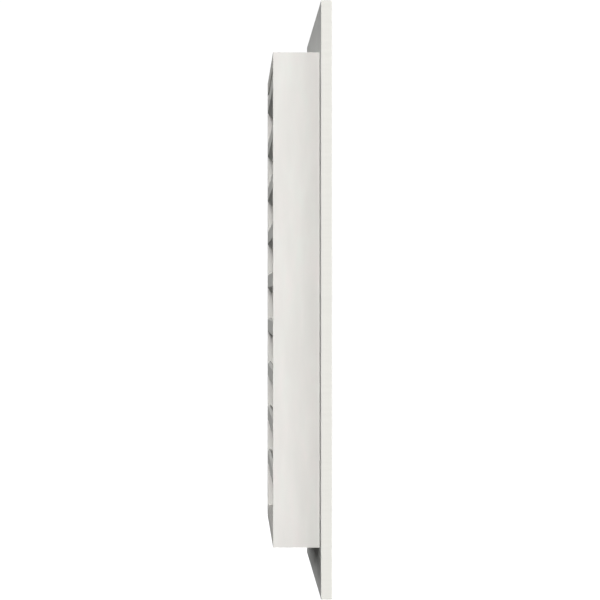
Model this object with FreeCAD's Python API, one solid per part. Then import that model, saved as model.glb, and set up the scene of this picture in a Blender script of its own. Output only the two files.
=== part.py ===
"""Rectangular louvred gable vent of cellular PVC board.

A flat trim frame laps the wall, a sleeve let into its back fills the wall's opening, and a bank of sloping louvres is
housed in the sleeve's sides. The origin is the centre of the opening in the wall plane, which is the trim's back face.
The front faces -Y, the sleeve runs back along +Y and +Z is up.
"""

import FreeCAD
import Part

import math
import os

# Trim frame, in millimetres
overall_width = 660.4
overall_height = 863.6
trim_width = 88.9
trim_thickness = 15.9

# Sleeve, whose inner faces are flush with the trim's inner edges
sleeve_wall = 20.6
sleeve_depth = 68.3

# Louvres, which slope down to the front
louvre_count = 9
louvre_angle = 45.0
louvre_thickness = 19.05
louvre_bevel = 3.4
bank_clearance = 6.7

# Joints between the boards
seat_depth = 3.2
housing_depth = 6.35
louvre_top_clearance = 0.2
louvre_end_clearance = 0.2

# Eased edges
trim_easing = 1.2
sleeve_easing = 0.8
louvre_easing = 0.8

position_tolerance = 0.001

# Sizes that follow from those above
trim_overhang = trim_width - sleeve_wall
sleeve_width = overall_width - 2 * trim_overhang
sleeve_height = overall_height - 2 * trim_overhang
opening_width = overall_width - 2 * trim_width
opening_height = overall_height - 2 * trim_width
trim_depth_span = (-trim_thickness, 0.0)
sleeve_depth_span = (-seat_depth, sleeve_depth)
slope_run = math.cos(math.radians(louvre_angle))
slope_rise = math.sin(math.radians(louvre_angle))
louvre_width = (sleeve_depth - 2 * louvre_bevel + louvre_thickness * slope_rise) / slope_run
louvre_height = louvre_width * slope_rise + louvre_thickness * slope_run
louvre_pitch = (opening_height - 2 * bank_clearance - louvre_height) / (louvre_count - 1)

along_x = FreeCAD.Vector(1, 0, 0)
along_z = FreeCAD.Vector(0, 0, 1)


def board(x_span, y_span, z_span):
    """A square-edged board between two faces on each axis."""
    corner = FreeCAD.Vector(x_span[0], y_span[0], z_span[0])
    size = [span[1] - span[0] for span in (x_span, y_span, z_span)]
    return Part.makeBox(size[0], size[1], size[2], corner)


def centred(length):
    """The span of a length centred on the origin."""
    return (-length / 2, length / 2)


def edges_at(shape, y_face, directions):
    """The straight edges of a board that lie in the face at y_face and run along one of the directions."""
    found = []
    for edge in shape.Edges:
        start, end = (vertex.Point for vertex in edge.Vertexes)
        in_face = all(abs(point.y - y_face) < position_tolerance for point in (start, end))
        run = (end - start).normalize()
        if in_face and any(abs(run.dot(way)) > 1 - position_tolerance for way in directions):
            found.append(edge)
    return found


# Trim frame
def rabbeted(trim_board):
    """A trim board with the sleeve's footprint let into its back."""
    footprint = board(centred(sleeve_width), (-seat_depth, 0.0), centred(sleeve_height))
    return trim_board.cut(footprint)


def make_stile(side):
    """A full-height trim board, with every edge of its front face eased."""
    outer = side * overall_width / 2
    inner = side * opening_width / 2
    stile = board(sorted((outer, inner)), trim_depth_span, centred(overall_height))
    front_edges = edges_at(stile, -trim_thickness, (along_x, along_z))
    return rabbeted(stile.makeFillet(trim_easing, front_edges))


def make_rail(side):
    """A trim board that butts between the stiles, with the long edges of its front face eased."""
    outer = side * overall_height / 2
    inner = side * opening_height / 2
    rail = board(centred(opening_width), trim_depth_span, sorted((outer, inner)))
    front_edges = edges_at(rail, -trim_thickness, (along_x,))
    return rabbeted(rail.makeFillet(trim_easing, front_edges))


# Louvre bank
def louvre_centres():
    """The heights of the louvres' centres, from the top one down."""
    middle = (louvre_count - 1) / 2
    return [(middle - number) * louvre_pitch for number in range(louvre_count)]


def make_plain_louvre(height, x_span, top_clearance=0.0):
    """A square-edged board turned to the slope, then planed flush with the wall plane and the sleeve's back."""
    z_span = (-louvre_thickness / 2, louvre_thickness / 2 + top_clearance)
    turned = board(x_span, centred(louvre_width), z_span)
    turned.rotate(FreeCAD.Vector(0, 0, 0), along_x, louvre_angle)
    turned.translate(FreeCAD.Vector(0, sleeve_depth / 2, height))
    return turned.common(board(x_span, (0.0, sleeve_depth), centred(overall_height)))


def make_louvre(height):
    """A louvre long enough to be housed at both ends, with its long edges eased."""
    length = opening_width + 2 * (housing_depth - louvre_end_clearance)
    plain = make_plain_louvre(height, centred(length))
    long_edges = [edge for edge in plain.Edges if abs(edge.Length - length) < position_tolerance]
    return plain.makeFillet(louvre_easing, long_edges)


# Sleeve
def make_crosspiece(side):
    """The head or the sill, housed in the sleeve's sides, with the long edges of its back face eased."""
    outer = side * sleeve_height / 2
    inner = side * opening_height / 2
    length = opening_width + 2 * housing_depth
    crosspiece = board(centred(length), sleeve_depth_span, sorted((outer, inner)))
    return crosspiece.makeFillet(sleeve_easing, edges_at(crosspiece, sleeve_depth, (along_x,)))


def make_side(side):
    """A full-height sleeve board with rabbets for the head and the sill and a pocket for each louvre."""
    outer = side * sleeve_width / 2
    inner = side * opening_width / 2
    housed_span = sorted((inner, inner + side * housing_depth))
    plain = board(sorted((outer, inner)), sleeve_depth_span, centred(sleeve_height))
    eased = plain.makeFillet(sleeve_easing, edges_at(plain, sleeve_depth, (along_z,)))
    housings = []
    for end in (-1, 1):
        rabbet_span = sorted((end * opening_height / 2, end * sleeve_height / 2))
        housings.append(board(housed_span, sleeve_depth_span, rabbet_span))
    for height in louvre_centres():
        housings.append(make_plain_louvre(height, housed_span, louvre_top_clearance))
    return eased.cut(housings)


def make_pieces():
    """Every board of the vent under its name, with left and right as seen from the front."""
    pieces = {
        "trim_stile_left": make_stile(-1),
        "trim_stile_right": make_stile(1),
        "trim_rail_bottom": make_rail(-1),
        "trim_rail_top": make_rail(1),
        "sleeve_side_left": make_side(-1),
        "sleeve_side_right": make_side(1),
        "sleeve_sill": make_crosspiece(-1),
        "sleeve_head": make_crosspiece(1),
    }
    for number, height in enumerate(louvre_centres(), start=1):
        pieces[f"louvre_{number}"] = make_louvre(height)
    return pieces


def main():
    """Builds the boards and writes each to its own file."""
    os.makedirs("parts", exist_ok=True)
    for name, shape in make_pieces().items():
        shape.exportStep(f"parts/{name}.step")


main()
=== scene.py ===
"""Dresses a louvred gable vent of white cellular PVC boards, seen from its left side and a little from behind.

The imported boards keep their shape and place. Each sub-assembly, which is the trim frame, the sleeve or the louvre bank,
gives its boards a procedural finish that follows the way each board was extruded, cut and eased. A soft studio with a
pale floor and the camera complete the picture. Lengths are in metres and angles in degrees.
"""

import logging
import math
from dataclasses import dataclass, field
from enum import Enum
from typing import Any

import bpy
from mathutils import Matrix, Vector


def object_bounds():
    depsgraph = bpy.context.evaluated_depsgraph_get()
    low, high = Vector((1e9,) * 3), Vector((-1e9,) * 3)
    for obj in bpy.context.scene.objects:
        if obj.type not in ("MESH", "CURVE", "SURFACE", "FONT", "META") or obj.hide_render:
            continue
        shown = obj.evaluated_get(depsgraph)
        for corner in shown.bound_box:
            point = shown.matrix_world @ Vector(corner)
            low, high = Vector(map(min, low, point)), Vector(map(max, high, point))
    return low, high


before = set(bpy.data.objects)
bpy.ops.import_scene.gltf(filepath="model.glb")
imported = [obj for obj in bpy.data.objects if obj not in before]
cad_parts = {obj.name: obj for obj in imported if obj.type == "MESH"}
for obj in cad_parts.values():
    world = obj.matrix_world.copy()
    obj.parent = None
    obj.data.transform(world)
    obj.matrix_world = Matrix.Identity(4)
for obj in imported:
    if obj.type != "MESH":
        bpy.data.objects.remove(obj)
CAD_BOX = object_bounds()

MM = 0.001
WHITE = "#FFFFFF"
LOG = logging.getLogger("gable_vent")

# The sRGB curve, which has a straight foot and then a power
SRGB_FOOT_END = 0.04045
SRGB_FOOT_SLOPE = 12.92
SRGB_OFFSET = 0.055
SRGB_POWER = 2.4

# Sockets of a mix node, by number because every kind of value has the same names there
SHARE = 0
FLOAT_A, FLOAT_B, FLOAT_RESULT = 2, 3, 0
COLOUR_A, COLOUR_B, COLOUR_RESULT = 6, 7, 2

Tree = bpy.types.NodeTree
Socket = bpy.types.NodeSocket
Key = str | int


@dataclass(frozen=True)
class Grain:
    """A noise pattern: the size of its marks along and across a board, and how fine and how harsh it is."""

    along: float
    across: float
    detail: float
    roughness: float


class Pattern(Enum):
    """The patterns that the die, the rollers, the blade and the foam leave on a board."""

    # The drift of tint and the soft clouds in the skin
    TINT = Grain(along=45 * MM, across=16 * MM, detail=3.0, roughness=0.55)
    CLOUDS = Grain(along=110 * MM, across=22 * MM, detail=3.0, roughness=0.55)
    # Lines that the die leaves along the whole board
    DIE_LINES = Grain(along=2000 * MM, across=9 * MM, detail=2.0, roughness=0.5)
    # The blade's marks are about 1.5 mm apart, too fine to show here, so they are drawn about four times as coarse
    BLADE_MARKS = Grain(along=6 * MM, across=90 * MM, detail=3.0, roughness=0.6)
    # Foam cells are about 0.3 mm wide, too fine to show here, so the pits are drawn eight times as coarse
    CELLS = Grain(along=2.4 * MM, across=2.4 * MM, detail=3.0, roughness=0.6)


class Run(Enum):
    """The axis that a board was extruded along."""

    LEVEL = 0
    UPRIGHT = 2

    def spread(self, grain: Grain) -> tuple[float, ...]:
        """Works out how a pattern is scaled on each axis.

        Args:
            grain: The sizes of the pattern's marks.

        Returns:
            The marks to a metre on X, Y and Z.
        """
        return tuple(1 / grain.along if axis == self.value else 1 / grain.across for axis in range(3))


class Broad(Enum):
    """The way that a board's broad, extruded faces look. Its other faces were sawn, planed or routed."""

    FRONT = Vector((0.0, 1.0, 0.0))
    SIDE = Vector((1.0, 0.0, 0.0))
    TOP = Vector((0.0, 0.0, 1.0))
    SLOPE = Vector((0.0, -1.0, 1.0)).normalized()


Lie = tuple[Run, Broad]


def hex_to_linear(code: str) -> tuple[float, float, float, float]:
    """Turns an sRGB hex colour into the linear colour that shaders take.

    Args:
        code: The colour as "#RRGGBB".

    Returns:
        The linear red, green and blue with an alpha of one.
    """
    shares = [int(code[start:start + 2], 16) / 255 for start in (1, 3, 5)]
    linear = [
        share / SRGB_FOOT_SLOPE
        if share <= SRGB_FOOT_END
        else ((share + SRGB_OFFSET) / (1 + SRGB_OFFSET)) ** SRGB_POWER
        for share in shares
    ]
    return (linear[0], linear[1], linear[2], 1.0)


def add_node(
    tree: Tree,
    kind: str,
    values: dict[Key, Any] | None = None,
    links: dict[Key, Socket] | None = None,
    **settings: Any,
) -> bpy.types.Node:
    """Adds a node to a tree, sets it up and links what feeds it.

    Args:
        tree: The tree that gets the node.
        kind: Blender's type name of the node.
        values: Constants by input name or number.
        links: Feeding sockets by input name or number.
        settings: The node's own options.

    Returns:
        The new node.
    """
    node = tree.nodes.new(kind)
    for name, setting in settings.items():
        setattr(node, name, setting)
    for name, value in (values or {}).items():
        node.inputs[name].default_value = value
    for name, socket in (links or {}).items():
        tree.links.new(socket, node.inputs[name])
    return node


@dataclass(frozen=True)
class CellularPvc:
    """Rigid cellular PVC board, extruded white through and through, with no gloss.

    Rollers close the broad faces to an even skin. To the eye it is a dull white with soft clouds drawn out along the
    board, a hardly visible drift between warm and cool, and faint lines from the die. Sawn and planed faces lie open to
    the foam, so they are chalkier, finely pitted and lightly marked across by the blade. Edges that were eased by hand
    are worn a little smoother, and they are painted paler, partly as wear and partly as a painted highlight.
    """

    name: str
    warm_hex: str
    cool_hex: str
    cloud_hex: str
    cut_hex: str
    mark_hex: str
    # Pale edge colour: partly wear, partly a painted highlight along the eased edges
    rub_and_highlight_hex: str = "#F6F5F1"

    # PVC has an IOR of about 1.53. The matted skin hides nearly all of its gloss, so little of it is left here.
    ior: float = 1.53
    specular: float = 0.04
    skin_roughness: float = 0.85
    cut_roughness: float = 0.95
    rub_roughness: float = 0.7

    # Heights of the die's lines in the skin, and of the pits and the blade's marks in the cuts
    die_line_relief: float = 0.05 * MM
    cut_relief: float = 0.12 * MM
    # Shares of a noise pattern's range that count as its low and its high end
    pattern_low: float = 0.3
    pattern_high: float = 0.7
    # How squarely a face has to look the broad way to have the skin, so that the change falls on the eased corners
    skin_starts: float = 0.8
    skin_full: float = 0.95
    # How far the surface has to turn within reach of an edge to be worn and painted paler as a highlight
    rub_and_highlight_starts: float = 0.01
    rub_and_highlight_full: float = 0.12
    rub_and_highlight_strength: float = 0.5
    # Rays that feel for an edge from each point
    rub_and_highlight_samples: int = 8
    # How far apart two boards' patterns are taken from the same noise
    board_shift: tuple[float, float, float] = (7.3, 3.9, 5.7)

    def material(self, lie: Lie, easing: float) -> bpy.types.Material:
        """Makes the finish for boards that lie one way.

        Args:
            lie: The axis that the boards were extruded along and the way that their broad faces look.
            easing: The radius of their eased edges.

        Returns:
            The material, named after the finish and the boards' lie.
        """
        run, broad = lie
        material = bpy.data.materials.new(f"{self.name} {run.name.lower()} {broad.name.lower()}")
        material.use_nodes = True
        tree = material.node_tree
        tree.nodes.clear()
        drawn = self._patterns(tree, run)
        skin = self._skin_share(tree, broad)
        # Eased edges are made smoother and painted paler, partly as wear and partly as a painted highlight
        rub_and_highlight = self._rub_and_highlight_share(tree, easing)
        shader = add_node(
            tree,
            "ShaderNodeBsdfPrincipled",
            {"IOR": self.ior, "Specular IOR Level": self.specular},
            {
                "Base Color": self._colour(tree, drawn, skin, rub_and_highlight),
                "Roughness": self._roughness(tree, skin, rub_and_highlight),
                "Normal": self._relief(tree, drawn, skin),
            },
        )
        add_node(tree, "ShaderNodeOutputMaterial", links={"Surface": shader.outputs["BSDF"]})
        return material

    def _board_place(self, tree: Tree) -> Socket:
        """Finds the place on a board, shifted from board to board so that no pattern runs on across a joint.

        Args:
            tree: The material's nodes.

        Returns:
            The shifted place in metres.
        """
        place = add_node(tree, "ShaderNodeTexCoord").outputs["Object"]
        own = add_node(tree, "ShaderNodeObjectInfo").outputs["Random"]
        shift = add_node(tree, "ShaderNodeVectorMath", {1: self.board_shift}, {0: own}, operation="MULTIPLY")
        shifted = add_node(
            tree, "ShaderNodeVectorMath", links={0: place, 1: shift.outputs["Vector"]}, operation="ADD"
        )
        return shifted.outputs["Vector"]

    def _patterns(self, tree: Tree, run: Run) -> dict[Pattern, Socket]:
        """Draws every pattern on a board.

        Args:
            tree: The material's nodes.
            run: The axis that the board was extruded along.

        Returns:
            The patterns, each from zero to one.
        """
        place = self._board_place(tree)
        drawn: dict[Pattern, Socket] = {}
        for pattern in Pattern:
            grain = pattern.value
            spread = add_node(
                tree, "ShaderNodeVectorMath", {1: run.spread(grain)}, {0: place}, operation="MULTIPLY"
            )
            # The spread place counts marks, so the noise keeps that scale
            noise = add_node(
                tree,
                "ShaderNodeTexNoise",
                {"Scale": 1.0, "Detail": grain.detail, "Roughness": grain.roughness},
                {"Vector": spread.outputs["Vector"]},
            )
            drawn[pattern] = noise.outputs["Fac"]
        return drawn

    def _skin_share(self, tree: Tree, broad: Broad) -> Socket:
        """Tells the extruded skin from the cut faces.

        Args:
            tree: The material's nodes.
            broad: The way that the board's broad faces look.

        Returns:
            One on the broad faces and zero on the cut ones.
        """
        normal = add_node(tree, "ShaderNodeNewGeometry").outputs["Normal"]
        facing = add_node(tree, "ShaderNodeVectorMath", {1: broad.value}, {0: normal}, operation="DOT_PRODUCT")
        either = add_node(tree, "ShaderNodeMath", links={0: facing.outputs["Value"]}, operation="ABSOLUTE")
        share = add_node(
            tree,
            "ShaderNodeMapRange",
            {"From Min": self.skin_starts, "From Max": self.skin_full},
            {"Value": either.outputs[0]},
        )
        return share.outputs["Result"]

    def _rub_and_highlight_share(self, tree: Tree, easing: float) -> Socket:
        """Finds the eased edges, which handling has worn and which are painted paler as a highlight.

        Args:
            tree: The material's nodes.
            easing: The radius of the eased edges, which is as far as the wear and the painted highlight reach.

        Returns:
            The share of wear and painted highlight, which is zero away from the edges.
        """
        normal = add_node(tree, "ShaderNodeNewGeometry").outputs["Normal"]
        rounded = add_node(tree, "ShaderNodeBevel", {"Radius": easing}, samples=self.rub_and_highlight_samples)
        turn = add_node(
            tree, "ShaderNodeVectorMath", links={0: normal, 1: rounded.outputs["Normal"]}, operation="DOT_PRODUCT"
        )
        share = add_node(
            tree,
            "ShaderNodeMapRange",
            {
                "From Min": 1 - self.rub_and_highlight_starts,
                "From Max": 1 - self.rub_and_highlight_full,
                "To Max": self.rub_and_highlight_strength,
            },
            {"Value": turn.outputs["Value"]},
        )
        return share.outputs["Result"]

    def _colour(self, tree: Tree, drawn: dict[Pattern, Socket], skin: Socket, rub_and_highlight: Socket) -> Socket:
        """Colours the board: clouded skin on broad faces, marked foam on cuts, edges pale from wear and a painted
        highlight.

        Args:
            tree: The material's nodes.
            drawn: The board's patterns.
            skin: The share of skin.
            rub_and_highlight: The share of wear and painted highlight.

        Returns:
            The base colour.
        """
        drift, clouds, marks = (
            add_node(
                tree,
                "ShaderNodeMapRange",
                {"From Min": self.pattern_low, "From Max": self.pattern_high},
                {"Value": drawn[pattern]},
            ).outputs["Result"]
            for pattern in (Pattern.TINT, Pattern.CLOUDS, Pattern.BLADE_MARKS)
        )
        tinted = add_node(
            tree,
            "ShaderNodeMix",
            {COLOUR_A: hex_to_linear(self.warm_hex), COLOUR_B: hex_to_linear(self.cool_hex)},
            {SHARE: drift},
            data_type="RGBA",
        )
        clouded = add_node(
            tree,
            "ShaderNodeMix",
            {COLOUR_B: hex_to_linear(self.cloud_hex)},
            {SHARE: clouds, COLOUR_A: tinted.outputs[COLOUR_RESULT]},
            data_type="RGBA",
        )
        marked = add_node(
            tree,
            "ShaderNodeMix",
            {COLOUR_A: hex_to_linear(self.cut_hex), COLOUR_B: hex_to_linear(self.mark_hex)},
            {SHARE: marks},
            data_type="RGBA",
        )
        board = add_node(
            tree,
            "ShaderNodeMix",
            links={SHARE: skin, COLOUR_A: marked.outputs[COLOUR_RESULT], COLOUR_B: clouded.outputs[COLOUR_RESULT]},
            data_type="RGBA",
        )
        # Pales the eased edges, partly as wear and partly as a painted highlight
        edge_finished = add_node(
            tree,
            "ShaderNodeMix",
            {COLOUR_B: hex_to_linear(self.rub_and_highlight_hex)},
            {SHARE: rub_and_highlight, COLOUR_A: board.outputs[COLOUR_RESULT]},
            data_type="RGBA",
        )
        return edge_finished.outputs[COLOUR_RESULT]

    def _roughness(self, tree: Tree, skin: Socket, rub_and_highlight: Socket) -> Socket:
        """Sets how dull each face is: the cuts most, the worn edges least.

        Args:
            tree: The material's nodes.
            skin: The share of skin.
            rub_and_highlight: The share of wear and painted highlight at the edges.

        Returns:
            The roughness.
        """
        board = add_node(
            tree, "ShaderNodeMix", {FLOAT_A: self.cut_roughness, FLOAT_B: self.skin_roughness}, {SHARE: skin}
        )
        edge_finished = add_node(
            tree,
            "ShaderNodeMix",
            {FLOAT_B: self.rub_roughness},
            {SHARE: rub_and_highlight, FLOAT_A: board.outputs[FLOAT_RESULT]},
        )
        return edge_finished.outputs[FLOAT_RESULT]

    def _relief(self, tree: Tree, drawn: dict[Pattern, Socket], skin: Socket) -> Socket:
        """Raises the fine relief: lines from the die on the skin, pits and blade marks on the cuts.

        Args:
            tree: The material's nodes.
            drawn: The board's patterns.
            skin: The share of skin.

        Returns:
            The surface normal.
        """
        ridged = add_node(
            tree, "ShaderNodeMath", {1: self.die_line_relief}, {0: drawn[Pattern.DIE_LINES]}, operation="MULTIPLY"
        )
        worked = add_node(
            tree, "ShaderNodeMath", links={0: drawn[Pattern.CELLS], 1: drawn[Pattern.BLADE_MARKS]}, operation="ADD"
        )
        pitted = add_node(tree, "ShaderNodeMath", {1: self.cut_relief}, {0: worked.outputs[0]}, operation="MULTIPLY")
        height = add_node(
            tree, "ShaderNodeMix", links={SHARE: skin, FLOAT_A: pitted.outputs[0], FLOAT_B: ridged.outputs[0]}
        )
        # The height is in metres already, so the bump takes it as it is
        bump = add_node(
            tree, "ShaderNodeBump", {"Strength": 1.0, "Distance": 1.0}, {"Height": height.outputs[FLOAT_RESULT]}
        )
        return bump.outputs["Normal"]


TRIM_PVC = CellularPvc(
    name="cellular PVC sanded trim",
    warm_hex="#E5E4E2",
    cool_hex="#E3E5E3",
    cloud_hex="#E0E1DE",
    cut_hex="#EBEAE4",
    mark_hex="#E8E7E1",
)
SLEEVE_PVC = CellularPvc(
    name="cellular PVC extruded sleeve",
    warm_hex="#EBE6E3",
    cool_hex="#E7E8E3",
    cloud_hex="#E3E1DD",
    cut_hex="#EFEEE9",
    mark_hex="#EBEAE5",
)
# The louvres' skin is painted darker than the other boards' skin as painted shade for the slots between the louvres,
# and their cuts are painted paler than the other boards' cuts as painted light on the louvres' back faces, on top of
# the chalkier foam
LOUVRE_PVC_PAINTED_SHADE_AND_LIGHT = CellularPvc(
    name="cellular PVC planed louvre",
    warm_hex="#E0DFDB",
    cool_hex="#DEE0DC",
    cloud_hex="#DADAD5",
    cut_hex="#F2F2ED",
    mark_hex="#EEEEE9",
)


@dataclass
class BoardGroup:
    """A sub-assembly of boards that share one finish and one easing."""

    slot: str
    finish: CellularPvc
    easing: float

    def boards(self) -> dict[str, Lie]:
        """Gives the lie of each board under its name."""
        raise NotImplementedError

    def dress(self) -> None:
        """Gives every board of the group the finish for its lie."""
        made: dict[Lie, bpy.types.Material] = {}
        for name, lie in self.boards().items():
            if lie not in made:
                made[lie] = self.finish.material(lie, self.easing)
            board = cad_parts[name]
            board.data.materials.clear()
            board.data.materials.append(made[lie])
            LOG.info("%s in %s", name, made[lie].name)


@dataclass
class TrimFrame(BoardGroup):
    """The flat frame that laps the wall: two full-height stiles with two rails butted between them."""

    slot: str = "trim_board"
    finish: CellularPvc = TRIM_PVC
    easing: float = 1.2 * MM

    def boards(self) -> dict[str, Lie]:
        """Gives the lie of each trim board under its name.

        Returns:
            The upright stiles and the level rails, all with their broad faces to the front and the back.
        """
        stiles = {f"trim_stile_{side}": (Run.UPRIGHT, Broad.FRONT) for side in ("left", "right")}
        rails = {f"trim_rail_{end}": (Run.LEVEL, Broad.FRONT) for end in ("top", "bottom")}
        return stiles | rails


@dataclass
class Sleeve(BoardGroup):
    """The box behind the trim that fills the wall's opening: two sides, a head and a sill."""

    slot: str = "sleeve_board"
    finish: CellularPvc = SLEEVE_PVC
    easing: float = 0.8 * MM

    def boards(self) -> dict[str, Lie]:
        """Gives the lie of each sleeve board under its name.

        Returns:
            The upright sides and the level head and sill.
        """
        sides = {f"sleeve_side_{side}": (Run.UPRIGHT, Broad.SIDE) for side in ("left", "right")}
        crosspieces = {name: (Run.LEVEL, Broad.TOP) for name in ("sleeve_head", "sleeve_sill")}
        return sides | crosspieces


@dataclass
class LouvreBank(BoardGroup):
    """The sloping boards housed in the sleeve's sides, numbered from the top."""

    slot: str = "louvre_board"
    finish: CellularPvc = LOUVRE_PVC_PAINTED_SHADE_AND_LIGHT
    easing: float = 0.8 * MM
    count: int = 9

    def boards(self) -> dict[str, Lie]:
        """Gives the lie of each louvre under its name."""
        return {f"louvre_{number}": (Run.LEVEL, Broad.SLOPE) for number in range(1, self.count + 1)}


@dataclass
class Softbox:
    """A studio lamp behind a diffuser, aimed at the vent's centre.

    Its bearing runs from the vent's left side, at zero, round behind the vent, at ninety. Its level is the share of
    their own colour that faces turned towards it send back.
    """

    name: str
    bearing: float
    elevation: float
    width: float
    height: float
    level: float
    distance: float = 14.0

    def build(self) -> None:
        """Hangs the lamp and aims it."""
        bearing, elevation = math.radians(self.bearing), math.radians(self.elevation)
        outward = math.cos(elevation)
        away = Vector((-math.cos(bearing) * outward, math.sin(bearing) * outward, math.sin(elevation)))
        data = bpy.data.lights.new(self.name, "AREA")
        data.shape = "RECTANGLE"
        data.size = self.width
        data.size_y = self.height
        # A white face turned to a lamp of this power sends back the level
        data.energy = self.level * (math.pi * self.distance) ** 2
        lamp = bpy.data.objects.new(self.name, data)
        lamp.location = away * self.distance
        lamp.rotation_euler = (-away).to_track_quat("-Z", "Y").to_euler()
        bpy.context.scene.collection.objects.link(lamp)
        LOG.info("lamp %s", self.name)


@dataclass
class Studio:
    """A plain white studio: soft lamps, a dim ceiling glow and a pale floor under the hanging vent.

    The floor throws back little light, but it is white to the eye wherever no shadow falls on it.
    """

    # How strongly the world lights the vent from overhead and from below
    ceiling_glow: float = 0.02
    floor_glow: float = 0.005
    # A little over the one that is white, so that noise removal leaves no grey at the borders of the picture
    backdrop: float = 1.04
    # Heights, on a ray of length one, between which the glow changes
    glow_rises: float = -0.25
    glow_full: float = 0.35
    # How far the floor lies below the vent
    floor_drop: float = 0.3
    floor_radius: float = 4.5
    floor_sides: int = 96
    # The colour with which the floor throws light back, its paler colour to the eye, and the glow added to that one
    floor_lit_hex: str = "#343433"
    floor_seen_hex: str = "#CBCBCB"
    floor_lift: float = 0.7
    lamps: list[Softbox] = field(
        default_factory=lambda: [
            Softbox("key", bearing=5.5, elevation=12.5, width=2.3, height=1.8, level=0.725),
            Softbox("side", bearing=-22, elevation=9, width=8.0, height=3.0, level=0.27),
            Softbox("back", bearing=124, elevation=29, width=3.4, height=6.0, level=0.33),
            Softbox("front", bearing=-95, elevation=15, width=4.7, height=4.7, level=0.74),
            Softbox("right", bearing=190, elevation=12, width=4.7, height=4.7, level=0.65),
        ]
    )

    def build(self) -> None:
        """Builds the surroundings, the floor and the lamps."""
        self._surround()
        self._floor()
        for lamp in self.lamps:
            lamp.build()

    def _seen(self, tree: Tree) -> Socket:
        """Tells rays that show the backdrop from those that only carry light.

        Args:
            tree: The nodes of the world or of the floor's material.

        Returns:
            One for rays by sight, in a gloss or through glass, and zero for the rest.
        """
        path = add_node(tree, "ShaderNodeLightPath").outputs
        mirrored = add_node(
            tree,
            "ShaderNodeMath",
            links={0: path["Is Glossy Ray"], 1: path["Is Transmission Ray"]},
            operation="MAXIMUM",
        )
        seen = add_node(
            tree, "ShaderNodeMath", links={0: path["Is Camera Ray"], 1: mirrored.outputs[0]}, operation="MAXIMUM"
        )
        return seen.outputs[0]

    def _surround(self) -> None:
        """Makes the world: white where it is seen, and elsewhere a glow that is brighter overhead."""
        world = bpy.data.worlds.new("studio")
        bpy.context.scene.world = world
        world.use_nodes = True
        tree = world.node_tree
        tree.nodes.clear()
        way = add_node(tree, "ShaderNodeTexCoord").outputs["Generated"]
        height = add_node(tree, "ShaderNodeSeparateXYZ", links={"Vector": way}).outputs["Z"]
        glow = add_node(
            tree,
            "ShaderNodeMapRange",
            {
                "From Min": self.glow_rises,
                "From Max": self.glow_full,
                "To Min": self.floor_glow,
                "To Max": self.ceiling_glow,
            },
            {"Value": height},
        )
        lit = add_node(
            tree, "ShaderNodeBackground", {"Color": hex_to_linear(WHITE)}, {"Strength": glow.outputs["Result"]}
        )
        white = add_node(tree, "ShaderNodeBackground", {"Color": hex_to_linear(WHITE), "Strength": self.backdrop})
        either = add_node(
            tree, "ShaderNodeMixShader", links={0: self._seen(tree), 1: lit.outputs[0], 2: white.outputs[0]}
        )
        add_node(tree, "ShaderNodeOutputWorld", links={"Surface": either.outputs[0]})

    def _floor(self) -> None:
        """Lays a round floor below the vent, white to the eye apart from the vent's shadow."""
        below = (0.0, 0.0, CAD_BOX[0].z - self.floor_drop)
        bpy.ops.mesh.primitive_circle_add(
            vertices=self.floor_sides, radius=self.floor_radius, fill_type="NGON", location=below
        )
        floor = bpy.context.object
        floor.name = "floor"
        material = bpy.data.materials.new("painted floor")
        material.use_nodes = True
        tree = material.node_tree
        tree.nodes.clear()
        dull = add_node(tree, "ShaderNodeBsdfDiffuse", {"Color": hex_to_linear(self.floor_lit_hex)})
        pale = add_node(tree, "ShaderNodeBsdfDiffuse", {"Color": hex_to_linear(self.floor_seen_hex)})
        lift = add_node(tree, "ShaderNodeEmission", {"Color": hex_to_linear(WHITE), "Strength": self.floor_lift})
        shown = add_node(tree, "ShaderNodeAddShader", links={0: pale.outputs[0], 1: lift.outputs[0]})
        either = add_node(
            tree, "ShaderNodeMixShader", links={0: self._seen(tree), 1: dull.outputs[0], 2: shown.outputs[0]}
        )
        add_node(tree, "ShaderNodeOutputMaterial", links={"Surface": either.outputs[0]})
        floor.data.materials.append(material)
        LOG.info("floor")


@dataclass
class ViewCamera:
    """The camera, level with the vent's middle, close to the plane of its back and a long way off."""

    eye: tuple[float, float, float] = (-3.836, 0.1292, 0.0)
    target: tuple[float, float, float] = (-0.3302, 0.0305, 0.0)
    # Millimetres, as cameras give them
    sensor: float = 36.0
    lens: float = 146.16

    def build(self) -> None:
        """Places the camera and makes it the scene's own."""
        data = bpy.data.cameras.new("camera")
        data.sensor_width = self.sensor
        data.lens = self.lens
        camera = bpy.data.objects.new("camera", data)
        camera.location = self.eye
        camera.rotation_euler = (Vector(self.target) - Vector(self.eye)).to_track_quat("-Z", "Y").to_euler()
        bpy.context.scene.collection.objects.link(camera)
        bpy.context.scene.camera = camera
        LOG.info("camera")


def main() -> None:
    """Dresses the boards group by group, then sets up the studio and the camera."""
    logging.basicConfig(level=logging.INFO, format="%(message)s")
    for group in (TrimFrame(), Sleeve(), LouvreBank()):
        group.dress()
    Studio().build()
    ViewCamera().build()
    bpy.context.scene.view_settings.view_transform = "Standard"


if __name__ == "__main__":
    main()
